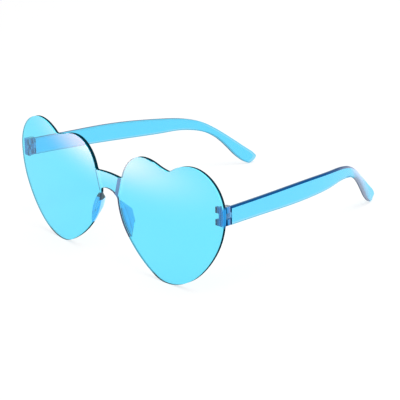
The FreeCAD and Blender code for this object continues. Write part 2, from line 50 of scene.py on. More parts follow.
# Directions of the glasses as they rest: up along the lenses, and back through them
UP = Vector(frame["joints"][0]["axis"]).normalized()
SIDE = Vector((1, 0, 0))
BACK = UP.cross(SIDE)

# The curved sheet, in metres, to match the part's solids. The raised bridge leaves the curve.
CURVE_RADIUS = 0.735
SHEET_THICKNESS = 0.0018
SHEET_FRONT = -0.0630388
LENS_FOOT = -0.0056026
BRIDGE_REACH = 0.0096

# How the copied meshes are merged, cut and set apart
MERGE_DISTANCE = 1e-6
CUT_SNAP = 1e-7
STRIP = 0.003
ON_CURVE = 0.00025
SEAT_GAP = 0.00006
MASK_STEP = 0.0003

# Where the sheet's edge changes its painted colours: reach from the middle, and height along the
# lenses from their feet
NOSE_REACH = 0.0135
NOSE_LOW = 0.0145
NOSE_HIGH = 0.0302
PAD_END = 0.0263
PAD_SEAT_END = 0.0275
ARCH_HIGH = 0.0372
HINGE_REACH = 0.066
HINGE_HEIGHT = 0.0371
HINGE_HALF = 0.0043
INNER_LOBE_REACH = 0.030
FOOT_HIGH = 0.003

# Places on the edge's scale of painted colours: where its painted shade starts along the inner lobes,
# and its painted shade inside at the hearts' feet
INNER_LOBE_DARK = 0.33
FOOT_SHARE = 0.5

# How far a face's normal has to turn one way to count as that kind of face
LENS_TURN = 0.5
RAMP_TURN = 0.25
SEAT_TURN = 0.7
FLANK_TURN = 0.2
NECK_TURN = 0.1
SIDE_TURN = 0.85
BEVEL_TURN = 0.3
TOP_TURN = 0.2
DROP_TURN = 0.1
END_TURN = 0.7

# Angles in degrees above which an edge stays sharp
SHEET_CREASE = 12
RIM_CREASE = 40
BLOCK_CREASE = 35
TEMPLE_CREASE = 30

# Places along a temple: where its drop may start, and how deep its front end and tongue reach
DROP_START = 0.02
END_DEPTH = 0.006
TONGUE_DEPTH = 0.0040

# Camera, as found from the outlines in the photograph
CAMERA_PLACE = Vector((0.512384, -0.418671, 0.272012))
CAMERA_AZIMUTH = 51.38145
CAMERA_ELEVATION = 21.62183
CAMERA_ROLL = -5.04141
CAMERA_LENS = 136.64
CAMERA_SENSOR = 36
CAMERA_CLIP = 20


def make_camera():
    data = bpy.data.cameras.new("camera")
    data.lens = CAMERA_LENS
    data.sensor_width = CAMERA_SENSOR
    data.clip_end = CAMERA_CLIP
    camera = bpy.data.objects.new("camera", data)
    turn = Euler((math.radians(90 - CAMERA_ELEVATION), 0, math.radians(CAMERA_AZIMUTH))).to_matrix()
    roll = Euler((0, 0, math.radians(CAMERA_ROLL))).to_matrix()
    camera.matrix_world = (turn @ roll).to_4x4()
    camera.location = CAMERA_PLACE
    bpy.context.scene.collection.objects.link(camera)
    bpy.context.scene.camera = camera


# Materials

# Places of the colour sockets on a Mix node
COLOR_A = 6
COLOR_B = 7
COLOR_RESULT = 2
PLASTIC_IOR = 1.49
# Painted light on edges: how strongly their painted colours glow, and how rough they are
EDGE_GLOW = 0.45
EDGE_ROUGH = 0.4
SHADE_TINT = (0.93, 0.97, 0.99)
EDGE_SHADE = (0.20, 0.24, 0.28)
CLEAR_WITHIN = (0.75, 0.85, 0.92)
RAMP_WITHIN = ("rise", [(0.0, (0.35, 0.86, 0.99)), (1.0, (0.37, 0.88, 0.99))])
CLOUD_DETAIL = 2.0
CLOUD_LOW = 0.3
CLOUD_HIGH = 0.7
SCREW_ROUGH = 0.3


def uneven_colour():
    """Node group: two colours in slow clouds, for the slight unevenness of a moulded or cast colour."""
    group = bpy.data.node_groups.new("uneven colour", "ShaderNodeTree")
    sockets = (("Deep", "NodeSocketColor"), ("Tint", "NodeSocketColor"), ("Scale", "NodeSocketFloat"))
    for name, kind in sockets:
        group.interface.new_socket(name=name, in_out="INPUT", socket_type=kind)
    group.interface.new_socket(name="Color", in_out="OUTPUT", socket_type="NodeSocketColor")
    given = group.nodes.new("NodeGroupInput")
    result = group.nodes.new("NodeGroupOutput")
    place = group.nodes.new("ShaderNodeTexCoord")
    noise = group.nodes.new("ShaderNodeTexNoise")
    noise.inputs["Detail"].default_value = CLOUD_DETAIL
    spread = group.nodes.new("ShaderNodeMapRange")
    spread.inputs["From Min"].default_value = CLOUD_LOW
    spread.inputs["From Max"].default_value = CLOUD_HIGH
    mixed = group.nodes.new("ShaderNodeMix")
    mixed.data_type = "RGBA"
    group.links.new(place.outputs["Object"], noise.inputs["Vector"])
    group.links.new(given.outputs["Scale"], noise.inputs["Scale"])
    group.links.new(noise.outputs["Fac"], spread.inputs["Value"])
    group.links.new(spread.outputs["Result"], mixed.inputs["Factor"])
    group.links.new(given.outputs["Deep"], mixed.inputs[COLOR_A])
    group.links.new(given.outputs["Tint"], mixed.inputs[COLOR_B])
    group.links.new(mixed.outputs[COLOR_RESULT], result.inputs["Color"])
    return group


UNEVEN_COLOUR = uneven_colour()


class Nodes:
    """Small helper that adds and links the nodes of one material, or of the world."""

    def __init__(self, owner):
        owner.use_nodes = True
        self.owner = owner
        self.tree = owner.node_tree
        self.tree.nodes.clear()

    def add(self, kind, **values):
        node = self.tree.nodes.new(kind)
        for key, value in values.items():
            setattr(node, key, value)
        return node

    def link(self, source, target):
        self.tree.links.new(source, target)

    def object_place(self):
        return self.add("ShaderNodeTexCoord").outputs["Object"]

    def ramp(self, source, stops):
        """Colour ramp over a value, from (position, colour) stops."""
        node = self.add("ShaderNodeValToRGB")
        elements = node.color_ramp.elements
        while len(elements) < len(stops):
            elements.new(0.5)
        for element, (position, color) in zip(elements, stops):
            element.position = position
            element.color = (*color, 1)
        self.link(source, node.inputs["Fac"])
        return node.outputs["Color"]

    def uneven(self, deep, tint, scale):
        """Slow clouds of two near colours."""
        node = self.add("ShaderNodeGroup", node_tree=UNEVEN_COLOUR)
        node.inputs["Deep"].default_value = (*deep, 1)
        node.inputs["Tint"].default_value = (*tint, 1)
        node.inputs["Scale"].default_value = scale
        return node.outputs["Color"]

    def mix(self, amount, first, second):
        node = self.add("ShaderNodeMixShader")
        self.link(amount, node.inputs["Fac"])
        self.link(first, node.inputs[1])
        self.link(second, node.inputs[2])
        return node.outputs["Shader"]

    def clear(self, color):
        node = self.add("ShaderNodeBsdfTransparent")
        node.inputs["Color"].default_value = (*color, 1)
        return node.outputs["BSDF"]

    def attribute(self, name):
        return self.add("ShaderNodeAttribute", attribute_name=name).outputs["Fac"]

    def blend(self, amount, first, second):
        """Colour between two others."""
        node = self.add("ShaderNodeMix", data_type="RGBA")
        self.link(amount, node.inputs["Factor"])
        self.link(first, node.inputs[COLOR_A])
        self.link(second, node.inputs[COLOR_B])
        return node.outputs[COLOR_RESULT]

    def lit(self, color):
        """Painted light: a plain surface that glows, so it holds its painted colour in any light,
        as light caught inside an edge does.
        """
        shader = self.add("ShaderNodeBsdfPrincipled")
        shader.inputs["Roughness"].default_value = EDGE_ROUGH
        shader.inputs["Specular IOR Level"].default_value = 0.0
        shader.inputs["Emission Strength"].default_value = EDGE_GLOW
        self.link(color, shader.inputs["Base Color"])
        self.link(color, shader.inputs["Emission Color"])
        return shader.outputs["BSDF"]

    def on_front(self, attribute):
        """An attribute's value on the outside of a surface, and 0 on its inside."""
        outside = self.add("ShaderNodeMath", operation="SUBTRACT")
        outside.inputs[0].default_value = 1.0
        self.link(self.add("ShaderNodeNewGeometry").outputs["Backfacing"], outside.inputs[1])
        value = self.add("ShaderNodeMath", operation="MULTIPLY")
        self.link(outside.outputs["Value"], value.inputs[0])
        self.link(self.attribute(attribute), value.inputs[1])
        return value.outputs["Value"]

    def finish(self, shader, output="ShaderNodeOutputMaterial"):
        out = self.add(output)
        self.link(shader, out.inputs["Surface"])
        return self.owner


def material_nodes(name):
    return Nodes(bpy.data.materials.new(name))


def tinted_plastic(name, tint, deep, scale, rough=0.0, through=1.0, painted_light=None):
    """Clear coloured plastic that lets the light through to the floor. Where painted_light is given,
    its outside is painted with light and shade from that ramp over the shade value.
    """
    n = material_nodes(name)
    color = n.uneven(deep, tint, scale)
    shader = n.add("ShaderNodeBsdfPrincipled")
    shader.inputs["Roughness"].default_value = rough
    shader.inputs["IOR"].default_value = PLASTIC_IOR
    shader.inputs["Transmission Weight"].default_value = through
    n.link(color, shader.inputs["Base Color"])
    body = shader.outputs["BSDF"]
    # Painted light and shade, on the outside of the surface only
    if painted_light:
        body = n.mix(n.on_front("painted_light"), body, n.lit(n.ramp(n.attribute("shade"), painted_light)))
    path = n.add("ShaderNodeLightPath")
    return n.finish(n.mix(path.outputs["Is Shadow Ray"], body, n.clear(SHADE_TINT)))


def painted_edge(name, attribute, stops, bonded=(), within=None):
    """A cut or moulded edge, with painted light and shade: dark and bright lines painted along it
    stand for the light caught inside. Where another piece is bonded behind it, the edge is painted
    in that piece's colour as seen through it. From inside the plastic it is clear, in one tint or
    in the tints that within gives over an attribute."""
    n = material_nodes(name)
    color = n.ramp(n.attribute(attribute), stops)
    for mask, under in bonded:
        color = n.blend(n.attribute(mask), color, n.ramp(n.attribute(attribute), under))
    inside = n.clear(CLEAR_WITHIN)
    if within:
        n.link(n.ramp(n.attribute(within[0]), within[1]), inside.node.inputs["Color"])
    seen = n.add("ShaderNodeNewGeometry")
    faced = n.mix(seen.outputs["Backfacing"], n.lit(color), inside)
    path = n.add("ShaderNodeLightPath")
    return n.finish(n.mix(path.outputs["Is Shadow Ray"], faced, n.clear(EDGE_SHADE)))


def screw_steel():
    n = material_nodes("screw steel")
    shader = n.add("ShaderNodeBsdfPrincipled")
    shader.inputs["Metallic"].default_value = 1.0
    shader.inputs["Roughness"].default_value = SCREW_ROUGH
    color = n.uneven(deep=(0.42, 0.44, 0.47), tint=(0.66, 0.68, 0.70), scale=900.0)
    n.link(color, shader.inputs["Base Color"])
    return n.finish(shader.outputs["BSDF"])


sheet_plastic = tinted_plastic("tinted sheet", scale=18.0,
                               tint=(0.132, 0.760, 0.990), deep=(0.126, 0.752, 0.985))
# The sheet's cut edge, painted: a lighter strip at the front and a dark line of painted shade behind, the
# colours of the pads and hinge blocks seen through it, and painted shade at the pads' tops, inside it along
# the nose arch and at the hearts' feet
cut_edge = painted_edge("cut edge", "depth",
                        [(0.0, (0.16, 0.68, 0.86)), (0.32, (0.12, 0.56, 0.72)),
                         (0.42, (0.001, 0.025, 0.040)), (1.0, (0.001, 0.015, 0.025))],
                        bonded=[("nose", [(0.0, (0.05, 0.39, 0.82)), (0.4, (0.07, 0.42, 0.84)),
                                          (1.0, (0.45, 0.76, 0.95))]),
                                ("tip", [(0.0, (0.03, 0.05, 0.08)), (1.0, (0.10, 0.14, 0.15))]),
                                ("bond", [(0.0, (0.03, 0.30, 0.66)), (0.5, (0.02, 0.20, 0.50)),
                                          (1.0, (0.03, 0.28, 0.62))])],
                        within=("arch", [(0.0, (0.08, 0.40, 0.50)), (FOOT_SHARE, (0.004, 0.06, 0.08)),
                                         (1.0, (0.004, 0.03, 0.10))]))
# Painted shade: the bridge's front ramps are painted dark grey-blue; the back ones stay clear
ramp_painted_shade = painted_edge("bridge ramp", "rise",
                            [(0.0, (0.06, 0.13, 0.24)), (0.30, (0.12, 0.23, 0.40)),
                             (1.0, (0.16, 0.28, 0.48))],
                            within=RAMP_WITHIN)
ramp_clear = painted_edge("bridge ramp clear", "rise",
                          [(0.0, (0.20, 0.76, 0.96)), (1.0, (0.22, 0.78, 0.96))],
                          within=RAMP_WITHIN)
# The temples' clear plastic, with a painted lavender sheen and grey painted shade at the bend
arm_plastic_and_sheen = tinted_plastic("tinted moulding, painted sheen", scale=18.0,
                             tint=(0.115, 0.675, 1.000), deep=(0.110, 0.668, 0.995),
                             painted_light=[(0.0, (0.60, 0.68, 0.93)), (1.0, (0.24, 0.28, 0.36))])
# Painted shade: a dark line along the temple's top, fading to a painted pale sheen at the bend, and painted
# lighter towards its inner side
arm_top = painted_edge("temple top edge", "along",
                       [(0.0, (0.002, 0.030, 0.090)), (0.62, (0.002, 0.030, 0.090)),
                        (0.72, (0.020, 0.030, 0.060)), (0.78, (0.10, 0.12, 0.20)),
                        (0.83, (0.30, 0.35, 0.50)), (0.88, (0.60, 0.68, 0.90)),
                        (1.0, (0.30, 0.62, 0.85))],
                       bonded=[("inner", [(0.0, (0.14, 0.24, 0.36)), (0.7, (0.14, 0.20, 0.30)),
                                          (0.85, (0.45, 0.55, 0.75)), (1.0, (0.30, 0.60, 0.80))])])
# Painted shade: a dark line along the temple's upper bevel, with a painted pale highlight at the bend
arm_bevel = painted_edge("temple bevel", "along",
                         [(0.0, (0.004, 0.060, 0.180)), (0.56, (0.004, 0.060, 0.190)),
                          (0.66, (0.04, 0.09, 0.20)), (0.74, (0.17, 0.20, 0.28)), (0.80, (0.32, 0.37, 0.50)),
                          (0.86, (0.62, 0.70, 0.94)), (0.93, (0.45, 0.66, 0.93)),
                          (1.0, (0.12, 0.50, 0.72))])
# Painted shade: a darker teal line along the temple's lower edge
arm_under = painted_edge("temple lower edge", "along",
                         [(0.0, (0.10, 0.42, 0.58)), (0.80, (0.10, 0.42, 0.58)), (1.0, (0.12, 0.45, 0.62))])
# Painted shade: the front edge of the temple's drop in greys, darkest towards its inner side
arm_drop = painted_edge("temple drop edge", "across",
                        [(0.0, (0.05, 0.08, 0.12)), (0.25, (0.12, 0.15, 0.20)), (0.6, (0.20, 0.23, 0.29)),
                         (1.0, (0.28, 0.32, 0.41))])
# Painted shade: the temple's front end painted dark navy
arm_end = painted_edge("temple front end", "across",
                       [(0.0, (0.006, 0.04, 0.15)), (1.0, (0.003, 0.025, 0.11))])
pad_plastic = tinted_plastic("nose pad plastic", scale=60.0,
                             tint=(0.13, 0.66, 0.94), deep=(0.09, 0.58, 0.93))
# Painted shade: the pads' upper ends painted dark grey; from inside, clear blue, paler towards the back
pad_end = painted_edge("nose pad end", "depth", [(0.0, (0.035, 0.055, 0.065)), (1.0, (0.14, 0.20, 0.21))],
                       within=("depth", [(0.0, (0.20, 0.45, 0.70)), (0.3, (0.45, 0.75, 0.94)),
                                         (1.0, (0.50, 0.80, 0.97))]))
# The pad's flank towards the nose, paler towards its back; inside it, a painted white highlight between
# painted dark lines of shade
pad_flank = painted_edge("nose pad flank", "depth", [(0.0, (0.12, 0.52, 0.90)), (1.0, (0.58, 0.82, 0.96))],
                         within=("glint_place", [(0.0, (0.0, 0.01, 0.08)), (0.09, (0.0, 0.03, 0.16)),
                                          (0.11, (1.0, 1.0, 1.0)), (0.15, (1.0, 1.0, 1.0)),
                                          (0.17, (0.03, 0.34, 0.62)), (0.22, (0.05, 0.42, 0.70)),
                                          (0.30, (0.30, 0.68, 0.94)), (1.0, (0.50, 0.80, 0.97))]))
hinge_plastic = tinted_plastic("hinge block plastic", scale=700.0, rough=0.03, through=0.65,
                               tint=(0.040, 0.32, 0.68), deep=(0.006, 0.09, 0.27))
# Painted shade: dark stripes painted across the hinge block's foot, between paler blue bands
hinge_foot = painted_edge("hinge block foot", "reach",
                          [(0.0, (0.0, 0.06, 0.10)), (0.26, (0.0, 0.07, 0.13)), (0.34, (0.0, 0.30, 0.56)),
                           (0.46, (0.0, 0.10, 0.20)), (0.58, (0.0, 0.32, 0.60)), (0.72, (0.0, 0.11, 0.22)),
                           (0.84, (0.0, 0.34, 0.62)), (1.0, (0.0, 0.22, 0.44))])
# Painted shade: the temple's tongue in the hinge is painted a deeper blue than the temple
tongue_painted_shade = tinted_plastic("hinge tongue, painted shade", scale=300.0, rough=0.03, through=0.5,
                                tint=(0.14, 0.42, 0.80), deep=(0.08, 0.32, 0.68))
# The hinge block's outer side: a painted dark line of shade and a paler painted band of light along it
hinge_side = painted_edge("hinge block side", "depth",
                          [(0.0, (0.03, 0.20, 0.45)), (0.06, (0.02, 0.15, 0.38)),
                           (0.10, (0.001, 0.012, 0.070)), (0.40, (0.001, 0.012, 0.070)),
                           (0.50, (0.03, 0.24, 0.52)), (0.80, (0.14, 0.26, 0.56)),
                           (1.0, (0.04, 0.16, 0.34))])
steel = screw_steel()


# Pieces, each from a merged copy of its own CAD mesh

OUTWARD = {"left": 1, "right": -1}


def copy_of(node):
    bm = bmesh.new()
    bm.from_mesh(nodes[node].data)
    bmesh.ops.remove_doubles(bm, verts=bm.verts[:], dist=MERGE_DISTANCE)
    bm.normal_update()
    return bm


def surface(x, radius):
    """How far back a surface of the curved sheet lies at x."""
    return SHEET_FRONT + CURVE_RADIUS - math.sqrt(radius ** 2 - x ** 2)


def lens_height(place):
    """Height along the lenses from the lowest points of the hearts."""
    return place.dot(UP) - LENS_FOOT


def share_back(place, box):
    """How far back a place lies in a box, from 0 at its front to 1."""
    low, high = box
    return (place.y - low[1]) / (high[1] - low[1])


def clamped(value):
    return min(1.0, max(0.0, value))


def set_back(vert, back):
    vert.co += (back - vert.co.dot(BACK)) * BACK


def cut_at(bm, height):
    """Cuts a mesh across at a height along the lenses, and keeps both sides."""
    bmesh.ops.bisect_plane(bm, geom=bm.verts[:] + bm.edges[:] + bm.faces[:],
                           plane_co=UP * (height + LENS_FOOT), plane_no=UP, dist=CUT_SNAP)


def values(bm, *names):
    """New values on a mesh's points, which the finishes read by these names."""
    return [bm.verts.layers.float.new(name) for name in names]


def finish_faces(bm, finishes, choose):
    """Gives each face the one of the finishes that choose returns for it."""
    for face in bm.faces:
        face.material_index = finishes.index(choose(face))


def mark_edges(bm, angle):
    for face in bm.faces:
        face.smooth = True
    for edge in bm.edges:
        edge.smooth = len(edge.link_faces) == 2 and edge.calc_face_angle(0) < math.radians(angle)


def make_piece(name, bm, node, body, finishes):
    mesh = bpy.data.meshes.new(name)
    bm.to_mesh(mesh)
    bm.free()
    if "custom_normal" in mesh.attributes:
        mesh.attributes.remove(mesh.attributes["custom_normal"])
    for finish in finishes:
        mesh.materials.append(finish)
    piece = bpy.data.objects.new(name, mesh)
    bpy.context.scene.collection.objects.link(piece)
    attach(piece, body)
    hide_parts(node)


def cut_sheet(bm):
    """Cuts the lenses into upright strips, and the whole sheet where its edge changes colour."""
    reach = int(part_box("front_sheet")[1][0] / STRIP)
    for i in range(-reach, reach + 1):
        faces = [f for f in bm.faces if abs(f.normal.dot(BACK)) > LENS_TURN]
        edges = dict.fromkeys(e for f in faces for e in f.edges)
        verts = dict.fromkeys(v for f in faces for v in f.verts)
        bmesh.ops.bisect_plane(bm, geom=[*verts, *edges, *faces], plane_co=(i * STRIP, 0, 0), plane_no=SIDE,
                               dist=CUT_SNAP)
        bm.normal_update()
    for height in (NOSE_LOW, PAD_END, NOSE_HIGH, ARCH_HIGH):
        cut_at(bm, height)
        cut_at(bm, height + MASK_STEP)
    bm.normal_update()


def curve_sheet(bm):
    """Sets the lenses' points on the sheet's true curve. The raised bridge stays as it is."""
    for vert in bm.verts:
        for radius in (CURVE_RADIUS, CURVE_RADIUS - SHEET_THICKNESS):
            back = surface(vert.co.x, radius)
            if abs(vert.co.dot(BACK) - back) < ON_CURVE and abs(vert.co.x) > BRIDGE_REACH:
                set_back(vert, back)
    bm.normal_update()


def line_start(place):
    """Where an edge's painted colours start at the front: along the inner lobes only the painted shade
    shows.
    """
    inner = abs(place.x) < INNER_LOBE_REACH and lens_height(place) > HINGE_HEIGHT
    return INNER_LOBE_DARK if inner else 0.0


def mark_sheet(bm):
    """Values that place the sheet's painted shade: the depth through it, and what lies behind or beside its
    edge.
    """
    depth, bond, nose, tip, arch, rise = values(bm, "depth", "bond", "nose", "tip", "arch", "rise")
    for vert in bm.verts:
        height = lens_height(vert.co)
        reach = abs(vert.co.x)
        past = height - MASK_STEP / 2
        # nose and bond: the pads' and hinge blocks' colours painted on the edge; tip: painted shade at the
        # pads' tops; arch: painted shade inside the edge along the nose arch, and at the hearts' feet
        vert[nose] = float(reach < NOSE_REACH and NOSE_LOW < past < NOSE_HIGH)
        vert[tip] = float(reach < NOSE_REACH and PAD_END < past < NOSE_HIGH)
        vert[arch] = float(reach < NOSE_REACH and NOSE_LOW < past < ARCH_HIGH)
        if height < FOOT_HIGH:
            vert[arch] = FOOT_SHARE
        vert[rise] = clamped((height - NOSE_HIGH) / (HINGE_HEIGHT - NOSE_HIGH))
        vert[bond] = float(reach > HINGE_REACH and abs(height - HINGE_HEIGHT) < HINGE_HALF)
        level = (vert.co.dot(BACK) - surface(vert.co.x, CURVE_RADIUS)) / SHEET_THICKNESS
        vert[depth] = min(1.0, max(line_start(vert.co), level))
    for face in bm.faces:
        turn = face.normal.dot(BACK)
        if abs(turn) > LENS_TURN:
            for vert in face.verts:
                vert[depth] = 1.0 if turn > 0 else line_start(vert.co)


def sheet_finish(face):
    """The rim is a cut edge with painted shade, the lenses are clear, and the bridge's front ramps
    are painted with shade while the back ones stay clear.
    """
    turn = face.normal.dot(BACK)
    if abs(turn) <= LENS_TURN:
        return cut_edge
    if abs(face.normal.x) <= RAMP_TURN:
        return sheet_plastic
    return ramp_painted_shade if turn < 0 else ramp_clear


def make_sheet():
    bm = copy_of("front_sheet")
    cut_sheet(bm)
    curve_sheet(bm)
    mark_sheet(bm)
    finishes = [sheet_plastic, cut_edge, ramp_painted_shade, ramp_clear]
    finish_faces(bm, finishes, sheet_finish)
    mark_edges(bm, SHEET_CREASE)
    for edge in bm.edges:
        if all(face.material_index == finishes.index(cut_edge) for face in edge.link_faces):
            edge.smooth = edge.calc_face_angle(0) < math.radians(RIM_CREASE)
    make_piece("lens_sheet", bm, "front_sheet", "front", finishes)


def seat(bm):
    """Lifts a bonded piece's foot a hair off the sheet, so that the two surfaces stay apart."""
    for vert in bm.verts:
        back = surface(vert.co.x, CURVE_RADIUS - SHEET_THICKNESS) + SEAT_GAP
        if vert.co.dot(BACK) < back:
            set_back(vert, back)
    bm.normal_update()


def pad_finish(face, side):
    """Clear plastic, but for the flank towards the nose, and painted shade on the upper ends of flank and
    seat.
    """
    inward = -face.normal.x * OUTWARD[side] > FLANK_TURN
    # Painted shade on the seat's upper end, on the right pad only
    seated = face.normal.dot(BACK) < -SEAT_TURN and side == "right"
    height = lens_height(face.calc_center_median())
    if (inward and height > PAD_END) or (seated and height > PAD_SEAT_END):
        return pad_end
    return pad_flank if inward else pad_plastic


def make_pad(side):
    bm = copy_of(f"nose_pad_{side}")
    seat(bm)
    cut_at(bm, PAD_END)
    cut_at(bm, PAD_SEAT_END)
    bm.normal_update()
    depth, glint_place = values(bm, "depth", "glint_place")
    low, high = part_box(f"nose_pad_{side}")
    for vert in bm.verts:
        vert[depth] = share_back(vert.co, (low, high))
        behind = vert.co.dot(BACK) - surface(vert.co.x, CURVE_RADIUS - SHEET_THICKNESS)
        vert[glint_place] = clamped(behind / (high[1] - low[1]))
    finishes = [pad_plastic, pad_end, pad_flank]
    finish_faces(bm, finishes, lambda face: pad_finish(face, side))
    mark_edges(bm, BLOCK_CREASE)
    make_piece(f"nose_rest_{side}", bm, f"nose_pad_{side}", "front", finishes)


def hinge_finish(face, side):
    """The foot on the sheet and the outer side have painted lines of shade and light. The rest is clear
    plastic.
    """
    if face.normal.dot(BACK) < -SEAT_TURN:
        return hinge_foot
    return hinge_side if face.normal.x * OUTWARD[side] > SEAT_TURN else hinge_plastic


def make_hinge(side):
    bm = copy_of(f"hinge_block_{side}")
    seat(bm)
    depth, reach = values(bm, "depth", "reach")
    low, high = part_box(f"hinge_block_{side}")
    inmost, outmost = sorted((abs(low[0]), abs(high[0])))
    for vert in bm.verts:
        vert[depth] = share_back(vert.co, (low, high))
        vert[reach] = (abs(vert.co.x) - inmost) / (outmost - inmost)
    finishes = [hinge_plastic, hinge_side, hinge_foot]
    finish_faces(bm, finishes, lambda face: hinge_finish(face, side))
    mark_edges(bm, BLOCK_CREASE)
    make_piece(f"hinge_fork_{side}", bm, f"hinge_block_{side}", "front", finishes)


def finish_screw(side):
    screw = nodes[f"hinge_screw_{side}"]
    screw.data.materials.clear()
    screw.data.materials.append(steel)


# A temple's tip: the way its drop runs, the directions along and across its blunt end, the radius that the
# solid has there, the power of its rounded square, and the share of its length that is kept
TIP_AXIS = Vector((0, 0.751, -0.660))
TIP_ALONG = Vector((0, 0.60, -0.80))
TIP_ACROSS = Vector((0, 0.80, 0.60))
TIP_RADIUS = 0.0032
TIP_POWER = 3.0
TIP_SHORT = 0.65

# The neck before it: where it starts and ends, as shares of the temple's depth, and how much fuller it gets
NECK_START = 0.78
NECK_END = 0.98
NECK_SWELL = 0.0007


def shape_end(bm, box):
    """Gives a temple's end the fuller neck and the blunt tip with soft corners that the photograph shows."""
    low, high = box
    last = max(bm.verts, key=lambda v: v.co.dot(TIP_AXIS)).co.copy()
    middle = last - TIP_RADIUS * TIP_AXIS
    for vert in bm.verts:
        share = (share_back(vert.co, box) - NECK_START) / (NECK_END - NECK_START)
        offset = vert.co - middle
        ahead, beside = offset.dot(TIP_ALONG), offset.dot(TIP_ACROSS)
        if 0 < share < 1 and vert.normal.dot(TIP_ACROSS) > NECK_TURN:
            vert.co += (NECK_SWELL * math.sin(math.pi * share) ** 2) * TIP_ACROSS
        if ahead > 0:
            reach = math.hypot(ahead, beside)
            grow = ((ahead / reach) ** TIP_POWER + abs(beside / reach) ** TIP_POWER) ** (-1 / TIP_POWER)
            vert.co += (ahead * (grow * TIP_SHORT - 1)) * TIP_ALONG + (beside * (grow - 1)) * TIP_ACROSS
        vert.co.y = min(vert.co.y, high[1])
        vert.co.z = max(vert.co.z, low[2])
    bm.normal_update()


# Painted light at a temple's bend: a painted sheen on its upper half and painted shade on its lower
# half. Where each starts and ends, as shares of the temple's depth, and its strength. Both come and go
# over the same short run.
UPPER_PAINTED_SHEEN = (0.76, 0.92, 0.75)
LOWER_PAINTED_SHADE = (0.78, 0.96, 0.85)
PAINTED_LIGHT_RUN = 0.05


def mark_temple(bm, box, side):
    """Values for a temple's finishes: the place along it, its outer side, and its painted sheen and shade at
    the bend.
    """
    along, across, painted_light, inner, shade = values(bm, "along", "across", "painted_light", "inner", "shade")
    for vert in bm.verts:
        vert[along] = share_back(vert.co, box)
        vert[inner] = 1.0
    for face in bm.faces:
        if face.normal.x * OUTWARD[side] > BEVEL_TURN:
            for vert in face.verts:
                vert[across] = 1.0
                vert[inner] = 0.0
                upper = vert.normal.dot(TIP_ACROSS) > 0
                start, end, most = UPPER_PAINTED_SHEEN if upper else LOWER_PAINTED_SHADE
                vert[painted_light] = most * clamped(min(vert[along] - start, end - vert[along]) / PAINTED_LIGHT_RUN)
                vert[shade] = 0.0 if upper else 1.0


def temple_finish(face, front, side):
    """A temple's sides are clear plastic, its tongue with painted shade. Its rim has a finish of painted
    light and shade for each way that it faces.
    """
    out = face.normal.x * OUTWARD[side]
    rise = face.normal.dot(UP)
    middle = face.calc_center_median()
    if abs(out) >= SIDE_TURN:
        return tongue_painted_shade if middle.y < front + TONGUE_DEPTH else arm_plastic_and_sheen
    if face.normal.y < -END_TURN and middle.y < front + END_DEPTH:
        return arm_end
    faces_ahead = face.normal.y < -DROP_TURN and out > -BEVEL_TURN
    if rise <= 0 and faces_ahead and middle.y > DROP_START:
        return arm_drop
    if rise > TOP_TURN and abs(out) > BEVEL_TURN:
        return arm_bevel if out > 0 else arm_under
    return arm_top if rise > 0 else arm_under


def make_temple(side):
    bm = copy_of(f"temple_{side}")
    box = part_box(f"temple_{side}")
    front = box[0][1]
    shape_end(bm, box)
    mark_temple(bm, box, side)
    finishes = [arm_plastic_and_sheen, arm_top, arm_under, arm_drop, arm_end, arm_bevel, tongue_painted_shade]
    finish_faces(bm, finishes, lambda face: temple_finish(face, front, side))
    mark_edges(bm, TEMPLE_CREASE)
    make_piece(f"temple_arm_{side}", bm, f"temple_{side}", f"{side}_arm", finishes)


make_sheet()
for side in OUTWARD:
    make_pad(side)
    make_hinge(side)
    finish_screw(side)
    make_temple(side)


# Stage and light

def seen_directly(n):
    """1 for what the camera sees, straight, in a reflection or through the plastic."""
    path = n.add("ShaderNodeLightPath")
    total = n.add("ShaderNodeMath", operation="ADD")
    n.link(path.outputs["Is Camera Ray"], total.inputs[0])
    n.link(path.outputs["Is Glossy Ray"], total.inputs[1])
    both = n.add("ShaderNodeMath", operation="ADD", use_clamp=True)
    n.link(total.outputs["Value"], both.inputs[0])
    n.link(path.outputs["Is Transmission Ray"], both.inputs[1])
    return both.outputs["Value"]


# The floor's half width, where its brightness to the camera changes, and that brightness near and far
FLOOR_HALF = 6.0
FLOOR_NEAR = 0.3
FLOOR_FAR = 1.5
FLOOR_WHITE_NEAR = 0.69
FLOOR_WHITE_FAR = 0.79

# The floor's own greys: the one that shows the shadow, and the one that lights the glasses from below
FLOOR_SHADED = 0.35
FLOOR_PLAIN = 0.8


def floor_white():
    """Pale floor: mostly plain white to the camera, and the rest is lit, so it keeps the shadow."""
    n = material_nodes("pale floor")
    shaded = n.add("ShaderNodeBsdfDiffuse")
    shaded.inputs["Color"].default_value = (FLOOR_SHADED, FLOOR_SHADED, FLOOR_SHADED, 1)
    white = n.add("ShaderNodeEmission")
    away = n.add("ShaderNodeVectorMath", operation="LENGTH")
    n.link(n.object_place(), away.inputs[0])
    level = n.add("ShaderNodeMapRange")
    level.inputs["From Min"].default_value = FLOOR_NEAR
    level.inputs["From Max"].default_value = FLOOR_FAR
    level.inputs["To Min"].default_value = FLOOR_WHITE_NEAR
    level.inputs["To Max"].default_value = FLOOR_WHITE_FAR
    n.link(away.outputs["Value"], level.inputs["Value"])
    n.link(level.outputs["Result"], white.inputs["Strength"])
    both = n.add("ShaderNodeAddShader")
    n.link(shaded.outputs["BSDF"], both.inputs[0])
    n.link(white.outputs["Emission"], both.inputs[1])
    plain = n.add("ShaderNodeBsdfDiffuse")
    plain.inputs["Color"].default_value = (FLOOR_PLAIN, FLOOR_PLAIN, FLOOR_PLAIN, 1)
    return n.finish(n.mix(seen_directly(n), plain.outputs["BSDF"], both.outputs["Shader"]))


